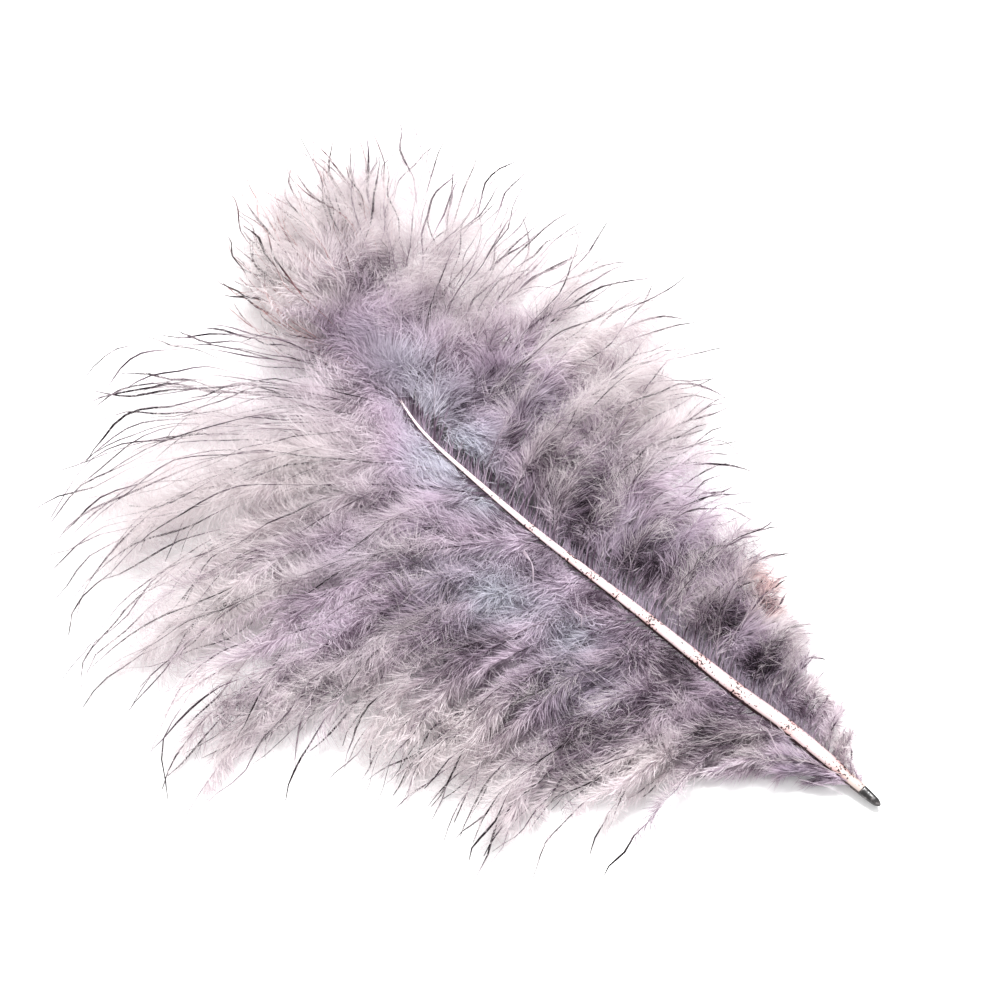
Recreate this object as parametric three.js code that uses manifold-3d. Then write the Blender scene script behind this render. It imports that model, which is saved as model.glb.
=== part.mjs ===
// A marabou feather, lying down: one grown piece, a tapering shaft with soft down on both sides.
// Millimetres, +Z up. +X points to the quill tip and +Y to the narrower of the two vanes.
// The down is built as locks, each a curved flattened tongue as long as the barbs that it gathers.
import * as THREE from 'three';
import { mergeVertices } from 'three/addons/utils/BufferGeometryUtils.js';
import Module from 'manifold-3d';

const wasm = await Module();
wasm.setup();

// Shaft centreline from the quill tip to the far end: distance along, distance across, height.
const SHAFT_LINE = [
  [0, 0, 0.75],
  [8, 0.3, 1.5],
  [16, 0.9, 2.4],
  [24, 2.1, 3.6],
  [39, 3.6, 5.7],
  [54, 5.2, 7.5],
  [66, 5.7, 8.4],
  [75, 5.5, 8.7],
  [82, 3.9, 8.8],
];

// Half the shaft's width at shares of its length, and its height as a share of its width.
const SHAFT_HALF_WIDTHS = [
  [0, 0.3],
  [0.012, 0.62],
  [0.05, 0.85],
  [0.15, 1.0],
  [0.3, 0.92],
  [0.5, 0.68],
  [0.75, 0.4],
  [1, 0.2],
];
const SHAFT_FLATNESS = 0.8;
const SHAFT_SIDES = 8;
const SHAFT_STEPS = 28;

// Where the barbs of each vane end: root as a share of the shaft, distance along, distance across.
const BROAD_VANE_TIPS = [
  [0.04, 9, 5],
  [0.1, 22, 15],
  [0.15, 28, 29],
  [0.2, 32, 43],
  [0.3, 47, 45],
  [0.35, 58, 51],
  [0.4, 66, 63],
  [0.5, 77, 65],
  [0.6, 89, 62],
  [0.7, 100, 54],
  [0.8, 109, 43],
  [0.9, 115, 31],
  [0.96, 117, 15],
  [1, 115, 6],
];
const NARROW_VANE_TIPS = [
  [0.04, 8, -4],
  [0.1, 13, -9],
  [0.2, 24, -13],
  [0.3, 34, -18],
  [0.4, 45, -23],
  [0.5, 57, -33],
  [0.6, 67, -37],
  [0.7, 77, -39],
  [0.8, 89, -39],
  [0.9, 103, -34],
  [0.96, 113, -28],
  [1, 119, -19],
];

// The few locks that grow from the shaft's very end: distance along and across of their tips.
const CROWN_TIPS = [
  [116, 5],
  [121, -3],
  [122, -11],
  [118, -20],
];
const CROWN_ROOT = 0.99;
const CROWN_SLIMNESS = 0.7;

// The locks: how many in each vane, and where along the shaft the first and the last one grow.
const LOCKS_PER_VANE = 29;
const FIRST_ROOT = 0.04;
const LAST_ROOT = 0.96;
const LOCK_SIDES = 5;
const LOCK_STEPS = 6;

// Lock section: half its width as a share of its reach, within limits, and half its thickness.
const HALF_WIDTH_SHARE = 0.085;
const LEAST_HALF_WIDTH = 1.3;
const MOST_HALF_WIDTH = 3.5;
const HALF_THICKNESS = 0.95;
const ROOT_WIDTH_SHARE = 0.36;
const ROOT_DEPTH = 0.55;
const TIP_WIDTH_SHARE = 0.05;
const WIDEST_AT = 0.5;

// A lock leaves the shaft turned forward of its chord and ends turned outward of it, in degrees.
const BOW_ANGLE = 20;
const BOW_REACH = 0.34;
const SHORTEST_REACH = 0.84;
const SPREAD_ANGLE = 5;

// Heights of the two layers of locks: how far a lock rises off the shaft and two thirds out, how
// much of its root's height it keeps there, and the height of its tip. Short locks rise less.
const UPPER_LAYER = { lift: 4.8, shoulder: 4.8, keeps: 1, tip: 1.8 };
const LOWER_LAYER = { lift: -1.2, shoulder: -1.6, keeps: 0, tip: 0.45 };
const FULL_RISE_REACH = 22;

// Everything below the surface that the feather lies on is cut away.
const CUTTER_SPAN = 400;
const CUTTER_DEPTH = 40;

const UP = new THREE.Vector3(0, 0, 1);
const GOLDEN_ANGLE = Math.PI * (3 - Math.sqrt(5));

// Distances along and across the feather, and height, as a point.
function at(along, across, height) {
  return new THREE.Vector3(-along, -across, height);
}

// Straight-line interpolation in a table whose first column is the share.
function lookUp(table, share) {
  const last = table.length - 1;
  const next = table.findIndex((row) => row[0] >= share);
  const high = next < 0 ? last : Math.max(next, 1);
  const low = table[high - 1];
  const mix = (share - low[0]) / (table[high][0] - low[0]);
  return low.slice(1).map((value, column) => THREE.MathUtils.lerp(value, table[high][column + 1], mix));
}

// An even spread of values between -1 and 1 that doesn't repeat from one lock to the next.
function variation(count, start) {
  return Math.sin(count * GOLDEN_ANGLE + start);
}

// A closed rod that follows a curve: its width lies level and its size follows two functions.
function rodAlong(curve, sides, steps, halfWidthAt, halfHeightAt) {
  const rod = new THREE.CylinderGeometry(1, 1, 1, sides, steps);
  rod.deleteAttribute('normal');
  rod.deleteAttribute('uv');
  const positions = rod.getAttribute('position');
  for (let index = 0; index < positions.count; index += 1) {
    const share = positions.getY(index) + 0.5;
    const forward = curve.getTangent(share);
    const level = new THREE.Vector3().crossVectors(forward, UP).normalize();
    const above = new THREE.Vector3().crossVectors(level, forward);
    const point = curve.getPoint(share);
    point.addScaledVector(level, positions.getX(index) * halfWidthAt(share));
    point.addScaledVector(above, positions.getZ(index) * halfHeightAt(share));
    positions.setXYZ(index, point.x, point.y, point.z);
  }
  return mergeVertices(rod);
}

// A three.js geometry as a solid that can be joined and cut.
function toSolid(geometry) {
  const positions = geometry.getAttribute('position');
  return new wasm.Manifold(new wasm.Mesh({
    numProp: 3,
    vertProperties: new Float32Array(positions.array),
    triVerts: new Uint32Array(geometry.getIndex().array),
  }));
}

// A solid as a three.js geometry.
function toGeometry(solid) {
  const mesh = solid.getMesh();
  const geometry = new THREE.BufferGeometry();
  geometry.setAttribute('position', new THREE.BufferAttribute(mesh.vertProperties, 3));
  geometry.setIndex(new THREE.BufferAttribute(mesh.triVerts, 1));
  geometry.computeVertexNormals();
  return geometry;
}

const shaftCurve = new THREE.CatmullRomCurve3(SHAFT_LINE.map((point) => at(...point)), false, 'centripetal');

// The shaft: a rounded quill tip, widest a short way in, then a long even taper.
function shaftSolid() {
  const halfWidthAt = (share) => lookUp(SHAFT_HALF_WIDTHS, share)[0];
  const halfHeightAt = (share) => halfWidthAt(share) * SHAFT_FLATNESS;
  const arcCurve = {
    getPoint: (share) => shaftCurve.getPointAt(share),
    getTangent: (share) => shaftCurve.getTangentAt(share),
  };
  return toSolid(rodAlong(arcCurve, SHAFT_SIDES, SHAFT_STEPS, halfWidthAt, halfHeightAt));
}

// A lock's middle line: from inside the shaft, bowed forward, down to its tip.
function lockCurve(rootShare, tipAlong, tipAcross, layer, turn) {
  const root = shaftCurve.getPointAt(rootShare);
  root.z = Math.max(root.z - ROOT_DEPTH, HALF_THICKNESS);
  const chord = at(tipAlong, tipAcross, 0).sub(new THREE.Vector3(root.x, root.y, 0));
  chord.applyAxisAngle(UP, turn);
  const side = Math.sign(chord.clone().cross(shaftCurve.getTangentAt(rootShare)).z);
  const bow = THREE.MathUtils.degToRad(BOW_ANGLE) * side;
  const leave = chord.clone().applyAxisAngle(UP, bow).multiplyScalar(BOW_REACH);
  const arrive = chord.clone().applyAxisAngle(UP, -bow).multiplyScalar(BOW_REACH);
  const rise = Math.min(1, chord.length() / FULL_RISE_REACH);
  const tip = root.clone().add(chord).setZ(layer.tip);
  const hip = root.clone().add(leave).setZ(root.z + rise * layer.lift);
  const shoulder = tip.clone().sub(arrive).setZ(layer.keeps * root.z + rise * layer.shoulder);
  return new THREE.CubicBezierCurve3(root, hip, shoulder, tip);
}

// One lock: narrow where it leaves the shaft, widest half way out, and a fine tip.
function lockSolid(rootShare, tip, layer, turn, slimness = 1) {
  const curve = lockCurve(rootShare, tip[0], tip[1], layer, turn);
  const reach = curve.v0.distanceTo(curve.v3);
  const most = THREE.MathUtils.clamp(reach * HALF_WIDTH_SHARE, LEAST_HALF_WIDTH, MOST_HALF_WIDTH);
  const fullness = (share) => {
    if (share < WIDEST_AT) {
      return THREE.MathUtils.lerp(ROOT_WIDTH_SHARE, 1, Math.sin((share / WIDEST_AT) * Math.PI / 2));
    }
    const outward = (share - WIDEST_AT) / (1 - WIDEST_AT);
    return THREE.MathUtils.lerp(1, TIP_WIDTH_SHARE, outward ** 1.5);
  };
  const halfWidthAt = (share) => most * slimness * fullness(share);
  const halfThicknessAt = (share) => HALF_THICKNESS * Math.sqrt(fullness(share));
  return toSolid(rodAlong(curve, LOCK_SIDES, LOCK_STEPS, halfWidthAt, halfThicknessAt));
}

// One vane: locks at even steps along the shaft, in turn in the upper and the lower layer.
function vaneSolids(tips, start) {
  const solids = [];
  for (let count = 0; count < LOCKS_PER_VANE; count += 1) {
    const rootShare = THREE.MathUtils.lerp(FIRST_ROOT, LAST_ROOT, count / (LOCKS_PER_VANE - 1));
    const root = shaftCurve.getPointAt(rootShare);
    const [along, across] = lookUp(tips, rootShare);
    const keep = THREE.MathUtils.lerp(SHORTEST_REACH, 1, 0.5 + 0.5 * variation(count, start));
    const tip = [
      THREE.MathUtils.lerp(-root.x, along, keep),
      THREE.MathUtils.lerp(-root.y, across, keep),
    ];
    const turn = THREE.MathUtils.degToRad(SPREAD_ANGLE) * variation(2 * count, start);
    const layer = count % 2 === 0 ? LOWER_LAYER : UPPER_LAYER;
    solids.push(lockSolid(rootShare, tip, layer, turn));
  }
  return solids;
}

// The half space below the surface that the feather lies on.
function groundCutter() {
  const box = new THREE.BoxGeometry(CUTTER_SPAN, CUTTER_SPAN, CUTTER_DEPTH);
  box.translate(0, 0, -CUTTER_DEPTH / 2);
  box.deleteAttribute('normal');
  box.deleteAttribute('uv');
  return toSolid(mergeVertices(box));
}

// The whole feather, grown together and flat where it touches the surface.
function featherGeometry() {
  const locks = [
    ...vaneSolids(BROAD_VANE_TIPS, 0),
    ...vaneSolids(NARROW_VANE_TIPS, 1),
    ...CROWN_TIPS.map((tip) => lockSolid(CROWN_ROOT, tip, UPPER_LAYER, 0, CROWN_SLIMNESS)),
  ];
  let solid = shaftSolid();
  for (const lock of locks) {
    solid = solid.add(lock);
  }
  return toGeometry(solid.subtract(groundCutter()));
}

const downMaterial = new THREE.MeshStandardMaterial({
  color: 0xa696a6,
  roughness: 0.95,
  metalness: 0,
  flatShading: true,
});

const feather = new THREE.Mesh(featherGeometry(), downMaterial);
feather.name = 'feather';

// The origin is the middle of the feather's outline, on the surface that it lies on.
feather.geometry.computeBoundingBox();
const middle = feather.geometry.boundingBox.getCenter(new THREE.Vector3());
feather.position.set(-middle.x, -middle.y, 0);

const part = new THREE.Group();
part.add(feather);

export default part;
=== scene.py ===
import math

import bpy
import numpy as np
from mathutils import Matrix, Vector


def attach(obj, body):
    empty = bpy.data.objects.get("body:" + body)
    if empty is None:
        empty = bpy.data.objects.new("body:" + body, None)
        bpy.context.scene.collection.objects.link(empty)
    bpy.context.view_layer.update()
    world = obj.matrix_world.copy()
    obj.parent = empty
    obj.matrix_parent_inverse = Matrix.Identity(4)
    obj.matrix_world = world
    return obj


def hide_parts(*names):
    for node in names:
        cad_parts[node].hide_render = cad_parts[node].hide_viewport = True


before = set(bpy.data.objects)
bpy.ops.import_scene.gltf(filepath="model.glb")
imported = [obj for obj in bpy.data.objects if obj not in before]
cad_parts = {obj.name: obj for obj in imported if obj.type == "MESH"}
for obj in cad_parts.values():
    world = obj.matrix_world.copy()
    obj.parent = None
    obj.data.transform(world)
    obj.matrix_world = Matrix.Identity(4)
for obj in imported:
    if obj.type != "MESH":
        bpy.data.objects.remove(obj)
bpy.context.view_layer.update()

# Units: the frame is in metres, and the feather's own measures are in millimetres.
MM = 0.001
SEED = 3608
UP = np.array([0.0, 0.0, 1.0])
UV_NAME = "OFBake"

# A random phase lies between these, in radians.
ANY_PHASE = [0, 6.3]

# Steps on each stretch of a smooth curve, on the shaft's finest line and on the line of barb roots.
CURVE_STEPS = 24
FINE_STEPS = 1000
ROOT_STEPS = 400

# Shaft centreline from the quill tip to the far end: distance along, distance across, height.
SHAFT_LINE = np.array([
    [0, 0, 0.85],
    [8, 0.3, 1.5],
    [16, 0.9, 2.4],
    [24, 2.1, 3.6],
    [39, 3.6, 5.7],
    [54, 5.2, 7.5],
    [66, 5.7, 8.4],
    [75, 5.5, 8.7],
    [82, 3.9, 8.8],
])

# Half the shaft's width at shares of its length, and its height as a share of its width.
SHAFT_WIDTH_SHARES = [0, 0.012, 0.036, 0.06, 0.1, 0.15, 0.3, 0.5, 0.75, 1]
SHAFT_HALF_WIDTHS = [0.36, 0.52, 0.66, 0.76, 0.9, 0.97, 0.92, 0.68, 0.4, 0.12]
SHAFT_FLATNESS = 0.8
SHAFT_SQUARENESS = 2.7
SHAFT_SIDES = 28
SHAFT_STEPS = 220
DARK_TIP_LENGTH = 3.1
DARK_TIP_STEPS = 26
SHAFT_START_INSIDE_TIP = 2.0

# The dark tip: how its steps crowd towards the end, its rounded length in mm and how it swells.
TIP_SPACING = 1.7
TIP_ROUND_LENGTH = 0.8
TIP_LEAST_ROUNDING = 0.01
TIP_SWELLING = 1.04

# The CAD shaft's corners this close to its end, in metres, tell where the quill ends.
QUILL_END_SLICE = 0.4 * MM

# Dark specks on the shaft: the middle and half length of each cluster in mm from the quill tip,
# how many stand between clusters, their size and how much a cluster thickens them.
SPECK_CLUSTERS = [
    [6.8, 2.4],
    [15.1, 1.6],
    [23.5, 1.8],
    [29.6, 2.2],
    [37.6, 2.6],
    [43.0, 1.0],
    [47.0, 1.2],
    [50.5, 1.8],
    [57.0, 1.0],
]
SPECKS_BETWEEN = 0.4
SPECKS_PER_METRE = 3400
SPECK_CLUSTER_WEIGHT = 0.25
SPECK_LEVEL = 0.76
SPECK_EDGE = 0.02

# Room around the shaft that barbules keep clear, and its shift to the side that the camera sees.
SHAFT_ROOM = 0.12
SHAFT_LEAN = 0.15

# Where barbs end, as in the solid: root as a share of the shaft, along, across; then the share of
# a barb's length where its thick fluff ends, how far it bows where it leaves and arrives, in
# degrees, and how thick the thin fluff stands beyond.
BROAD_VANE = np.array([
    [0.04, 9, 3.2, 0.97, 6, 2, 0.4],
    [0.1, 20.5, 11, 0.95, 16, 4, 0.2],
    [0.15, 26.3, 17, 0.9, 20, 6, 0.15],
    [0.2, 28, 32, 0.84, 24, 12, 0.4],
    [0.26, 30, 42, 0.8, 26, 24, 0.5],
    [0.36, 40.5, 43, 0.84, 26, 26, 0.42],
    [0.46, 47.5, 43, 0.82, 26, 30, 0.38],
    [0.52, 56.5, 49, 0.82, 26, 32, 0.45],
    [0.58, 67, 61, 0.84, 26, 32, 0.55],
    [0.66, 76, 61.5, 0.74, 24, 34, 0.55],
    [0.74, 87, 58, 0.54, 22, 36, 0.46],
    [0.82, 98, 51.5, 0.4, 20, 34, 0.54],
    [0.89, 106.5, 42, 0.32, 16, 28, 0.56],
    [0.95, 112.5, 31, 0.22, 12, 16, 0.2],
    [0.98, 114.5, 17.5, 0.2, 8, 4, 0.08],
    [1, 112, 6, 0.2, 4, 2, 0.08],
])
NARROW_VANE = np.array([
    [0.04, 7, -1.8, 0.9, 8, 0, 0.4],
    [0.1, 11.6, -5.8, 0.84, 14, 8, 0.3],
    [0.2, 20.5, -9.4, 0.8, 22, 16, 0.4],
    [0.3, 29.5, -14.5, 0.84, 24, 18, 0.5],
    [0.4, 37.2, -17.8, 0.78, 26, 22, 0.45],
    [0.5, 45, -21, 0.64, 26, 28, 0.32],
    [0.6, 54.5, -28.5, 0.62, 26, 30, 0.4],
    [0.7, 65, -33.5, 0.72, 26, 30, 0.58],
    [0.8, 75.5, -36, 0.54, 24, 28, 0.4],
    [0.88, 87.5, -35.5, 0.44, 20, 22, 0.26],
    [0.95, 101, -32, 0.46, 14, 12, 0.3],
    [0.98, 112, -27, 0.54, 8, 6, 0.42],
    [1, 119, -18, 0.54, 4, 2, 0.42],
])

# The barbs at the shaft's very end: tips of the fan at its edges and its middle, in mm, and, at
# places across the fan, where the thick fluff ends and how thick the thin fluff stands beyond.
CROWN_EDGES = np.array([[113.0, 4.0], [116.5, -24.0]])
CROWN_MIDDLE = np.array([120.0, -9.0])
CROWN_BARBS = 96
CROWN_PLACES = [0, 0.3, 0.46, 0.62, 1]
CROWN_FLUFF_ENDS = [0.12, 0.22, 0.6, 0.64, 0.54]
CROWN_HAZES = [0.06, 0.26, 0.46, 0.54, 0.42]
CROWN_ROOT_STEPS = 12

# Barbs in each vane, how they gather into locks, and how much they differ. Roots lie off the
# shaft's middle line by heights in mm. A higher power makes short barbs rarer.
BARBS_PER_VANE = 240
BARB_POINTS = 26
FIRST_ROOT = 0.035
ROOT_GRID = 200
ROOT_HEIGHTS = [-0.35, 0.05]
LOCKS_PER_VANE = 29
LOCK_PULL = 0.3
LOCK_SPREAD = 0.3
LONGEST_REACH = 1.01
REACH_SPREAD = 0.36
VANE_REACH_POWER = 2
CROWN_REACH_POWER = 1.5
HAZE_SPREAD = [0, 2]
BOW_SPREAD = math.radians(15)
BOW_REACH = 0.34
TURN_SPREAD = math.radians(4.5)
STRAY_TURN = math.radians(18)
STRAY_SHARE = 0.2
STRAY_SHORTENING = 0.2

# Short barbs turn and lift less: the reach in mm for the full amount, and the least share.
FULL_TURN_REACH, LEAST_TURN = 30, 0.15
FULL_LIFT_REACH, LEAST_LIFT = 22, 0.25

# Waves of a barb: how many along it, how wide as a share of its reach, and the hooks at some tips.
SLOW_WAVE = [0.8, 0.042]
QUICK_WAVE = [1.9, 0.019]
WAVE_PACES = [0.7, 1.3]
WAVE_SIZES = [0.3, 1.3]
WAVE_RISE = 0.3
KINKS = [4.2, 0.006]
KINK_PACES = [0.6, 1.4]
HOOK = 0.12
HOOK_SHARE = 0.45
HOOK_POWER = 5
TIP_HOLD = 0.7
TIP_HOLD_POWER = 1.5

# More barbs lie in the upper layers than below, and some on top of the rest carry little fluff.
UPPER_CROWDING = 0.65
LOOSE_SHARE = 0.16
LOOSE_LAYER = 1.2
LOOSE_FLUFF = 0.25

# Heights in mm: how far barbs lift off the shaft, their height two thirds out, and at their tips.
LIFT_LOW, LIFT_HIGH = -2.0, 1.7
SHOULDER_LOW, SHOULDER_HIGH = 0.8, 8.2
SHOULDER_OVER_ROOT = 3.2
TIP_LOW, TIP_HIGH = 0.3, 4.2
TIP_LAYER_POWER = 1.5
LEAST_HEIGHT = 0.08

# A barb's core is a three-sided rod: its radius in mm from root to tip, and the knots along it.
CORE_SIDES = 3
CORE_SHARES = [0, 0.12, 0.6, 0.9, 1]
CORE_RADII = [0.1, 0.055, 0.074, 0.106, 0.034]
CORE_SPREAD = [0.65, 1.25]
KNOT_PACES = [7, 20]
KNOT_THICKENING = 0.55
KNOT_DARKENING = 0.26

# A core's tone: at its root, how much darker it gets over which mm, and where it comes out bare,
# against the end of the thick fluff. Bare ends are paler first and darken over shares of the barb.
CORE_ROOT_TONE = 0.62
CORE_ROOT_FADE = 0.2
CORE_ROOT_FADES = [1, 6]
CORE_MOTTLING = 0.12
CORE_BARES = [-0.2, 0.05]
BARE_LIGHTENING = 0.2
BARE_DARKENS = [0.6, 0.92]
BARE_TONES = {"broad": [-0.1, 0.36], "narrow": [-0.1, 0.42], "crown": [0.0, 0.5]}
BARE_HUES = {"broad": 0.66, "narrow": 0.6, "crown": 0.96}

# Barbules: how many in all, their length and half width in mm, and how they lean, in radians.
# A spread is the range of what a measure is multiplied by.
BARBULES = 425000
BARBULE_LENGTH = 3.1
LENGTH_SPREAD = [0.35, 1.3]
BARBULE_HALF_WIDTH = 0.056
WIDTH_SPREAD = [0.6, 1.3]
ROOT_LEAN = 0.72
ROOT_LEAN_SPREAD = [0.7, 1.3]
TIP_LEAN = 0.34
TIP_LEAN_SPREAD = [0.4, 1.8]
ROLL_SPREAD = 1.1
ROW_FLATNESS = 0.8
TUFT_BEND = 0.7
TUFT_FLATNESS = 0.5
ROOT_BEND, TIP_BEND = 0.6, 1.2
JITTER = 0.3
BEND_PLACE = 0.45
FACING_UP, FACING_SPREAD = 0.8, 0.6
BLADE_CORNERS = np.array([0, 2, 1, 1, 2, 3])

# Barbules are shorter near the shaft, up to a reach in mm, and near the quill.
NEAR_LENGTH, NEAR_REACH = 0.5, 6
QUILL_LENGTH, QUILL_STRETCH = 0.6, [0.05, 0.35]

# The fluff droops back towards the quill and out to its side, over stretches of the length in mm.
DROOP = 0.36
ROOT_DROOP = 0.7
DROOP_OUTWARD = 0.7
DROOP_BEGINS = [14, 28]
DROOP_FADES = [66, 84]

# Fluff above this height in mm is pressed down to this share of its rise.
SOFT_TOP = 10.6
SOFT_TOP_SHARE = 0.45

# How far in mm barbs stay bare from their roots, and the most that is as a share of their reach.
BROAD_BARE_BASE = 1.6
NARROW_BARE_BASE = 4.8
CROWN_BARE_BASE = 0.5
MOST_BARE_SHARE = 0.28

# The fluff starts over shares of the bare base, and fades around the end of the thick fluff. The
# haze fades over shares of the barb.
FLUFF_STARTS = [0.35, 1.6]
FLUFF_FADES = [-0.32, 0.16]
HAZE_FADES = [0.8, 1.02]
FLUFF_SAMPLES = 21

# Past the thick fluff the barbules make a haze: how long, thin, straight and loose they are there.
HAZE_BEGINS = [-0.1, 0.2]
HAZE_LENGTH = 1.4
HAZE_WIDTH = 0.33
HAZE_LEAN = 0.95
HAZE_JITTER = 1.8

# At the quill end of the broad vane the barbules lie smooth: up to which share of the shaft, and
# how much less they bend, stray and lean.
SILKY_ROOTS = [0.09, 0.2]
SILK_BEND_LOSS = 0.7
SILK_JITTER_LOSS = 0.5
SILK_LEAN_LOSS = 0.5

# Bare strands close beside the shaft: how many, between which shares of its length, their reach
# and radius in mm, how they stand and their tone.
BASE_STRANDS = 720
BASE_STRAND_STRETCH = [0.14, 0.97]
BASE_STRAND_REACH = 6.0
BASE_STRAND_SPREAD = [0.8, 1.15]
BASE_STRAND_GROWTH = [0, 0.35]
BASE_STRAND_RADII = [0.045, 0.035]
BASE_STRAND_SINKING = [0.1, 0.3]
BASE_STRAND_ANGLE = math.radians(50)
BASE_STRAND_TURN = 0.04
BASE_STRAND_LAYER = 0.75
BASE_STRAND_POINT_STEP = 4
BASE_STRAND_TONE, BASE_STRAND_CONTRAST = 0.62, 0.08
BASE_STRAND_HUE = 0.2

# Pale loose strands on top of the down, in mm: points along them (along, across, height) and the
# radius where they are thickest.
PALE_STRANDS = [
    ([[54.3, 8.5, 8.6], [53.2, 9.3, 9.8], [51.4, 9.9, 10.0], [49.7, 11.4, 9.0]], 0.15),
    ([[43.9, 10.0, 8.0], [43.1, 10.4, 8.9], [42.2, 10.4, 8.9], [41.5, 11.2, 8.2]], 0.13),
    (
        [[24.8, 6.3, 4.6], [24.6, 5.0, 5.6], [23.2, 3.9, 5.4], [23.4, 5.1, 5.6], [25.0, 5.6, 5.0]],
        0.07,
    ),
    ([[18.8, 3.4, 3.0], [16.4, 3.5, 3.9], [13.6, 4.5, 3.7], [11.3, 4.7, 2.8]], 0.08),
    ([[9.3, 4.9, 2.0], [7.8, 4.4, 2.5], [5.6, 3.1, 2.2], [3.8, 2.4, 1.4]], 0.07),
]
PALE_STRAND_SHARES = [0, 0.2, 0.6, 1]
PALE_STRAND_RADII = [0.4, 1, 0.7, 0.2]
PALE_STRAND_TONE = 0.97
PALE_STRAND_HUE = 0.5

# Tone runs from 0, dark, to 1, light. Hue runs from 0, blue-grey, by lilac and pink to 1, rust.
BLUE, LILAC, MAUVE, PINK = 0.0, 0.34, 0.5, 0.68
RUST_TINGE = 0.86
MIDDLE_TONE = 0.62
BROAD_TONE = 0.05
SILK_TONE = 0.12
SILKY_CORE_TONE = 0.4
BARB_CONTRAST = 0.07
STRAND_CONTRAST = 0.065
# Painted shade and highlight on each barbule's corners: darker at its root, lighter at its tip.
BLADE_SHADE_AND_HIGHLIGHT = np.array([-0.05, 0.0, 0.0, 0.04])
# How dark each strand goes in the dark places, which are partly tufts and partly painted shade.
TUFT_AND_SHADE_TAKE = [0.1, 1.7]
OUTER_LIGHTENING = 0.3
LIGHTENS = [-0.35, 0.25]
TURNS_PINK = [-0.3, 0.15]
BROAD_BEGINS = [8, 20]
UV_MARGIN = 0.03
UV_HALF_WIDTH = 0.006

# Random fields: the size of their features in mm, and how much they mottle tone and hue.
TUFT_SIZE = 3.2
BLOTCH_SIZE, BLOTCH_TONE = 4.5, 0.085
STREAK_SIZE, STREAK_TONE = 1.5, 0.06
TINT_SIZE, TINT_HUE = 9.0, 0.07
WAVE_LENGTHS = [0.7, 1.5]

# Dark strokes on top of the fluff: how much darker, how many, how they gather in patches, fade in
# the haze and thin, and how high they lie in mm.
DARK_STROKE = 0.5
DARK_STROKE_SHARE = 0.24
STROKE_PATCHINESS = 0.7
STROKE_PATCH_SHIFT = 40
STROKE_FADE = 0.6
STROKE_THINNING = 0.45
STROKE_RISE = [0.2, 0.6]

# Dark places, partly darker tufts of the down and partly painted shade among them: along, across,
# radius in mm, and how much darker.
DARK_TUFTS_AND_SHADE = [
    [43.9, -0.9, 2.6, 0.5],
    [52.9, -0.5, 3.2, 0.4],
    [62.1, -3.9, 1.8, 0.35],
    [61.1, -0.7, 1.4, 0.35],
    [51.9, -9.2, 1.6, 0.35],
    [84.0, 9.6, 4.0, 0.16],
    [88.6, -7.0, 4.0, 0.18],
    [93.6, -15.6, 4.4, 0.16],
    [25.1, 14.4, 2.4, 0.2],
    [13.6, 4.8, 2.2, 0.22],
    [65.4, 18.6, 3.2, 0.16],
    [36.0, -8.9, 2.0, 0.2],
    [31.0, 4.4, 2.3, 0.65],
    [60.4, 23.6, 2.3, 0.22],
    [52.5, 25.1, 3.6, 0.2],
    [50.8, 20.6, 3.6, 0.4],
    [96.2, -8.3, 3.2, 0.18],
    [92.2, 5.8, 4.6, 0.34],
    [30.2, -9.0, 1.5, 0.35],
    [65.2, 9.4, 2.4, 0.2],
    [31.0, -3.0, 2.5, 0.56],
    [23.9, -2.7, 2.2, 0.5],
    [33.3, 20.5, 2.4, 0.35],
    [30.6, 23.4, 2.8, 0.5],
    [17.4, 7.6, 1.7, 0.28],
    [15.9, -2.4, 1.7, 0.3],
    [29.6, -9.8, 1.0, 0.4],
    [31.6, -12.2, 0.8, 0.45],
    [28.0, -9.4, 0.8, 0.45],
    [55.2, 7.4, 0.9, 0.2],
    [50.6, 9.6, 1.0, 0.2],
    [72.4, -7.1, 2.6, 0.28],
    [60.6, -2.6, 2.4, 0.2],
    [57.3, -15.1, 3.0, 0.22],
    [36.2, -13.2, 2.4, 0.5],
    [22.0, 29.0, 1.8, 0.3],
]

# Smooth places: along, across, radius in mm, and how much less the strands differ.
SMOOTH_PLACES = [
    [52.3, 15.3, 9.0, 0.7],
    [82.4, 2.9, 10.0, 0.75],
    [88.0, 12.0, 11.0, 0.6],
    [73.0, 9.4, 7.0, 0.6],
    [40.0, 14.0, 6.0, 0.5],
    [66.0, -12.0, 5.0, 0.4],
    [97.0, 12.0, 10.0, 0.5],
    [92.0, -4.0, 8.0, 0.4],
    [72.0, 28.0, 9.0, 0.4],
]

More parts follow.
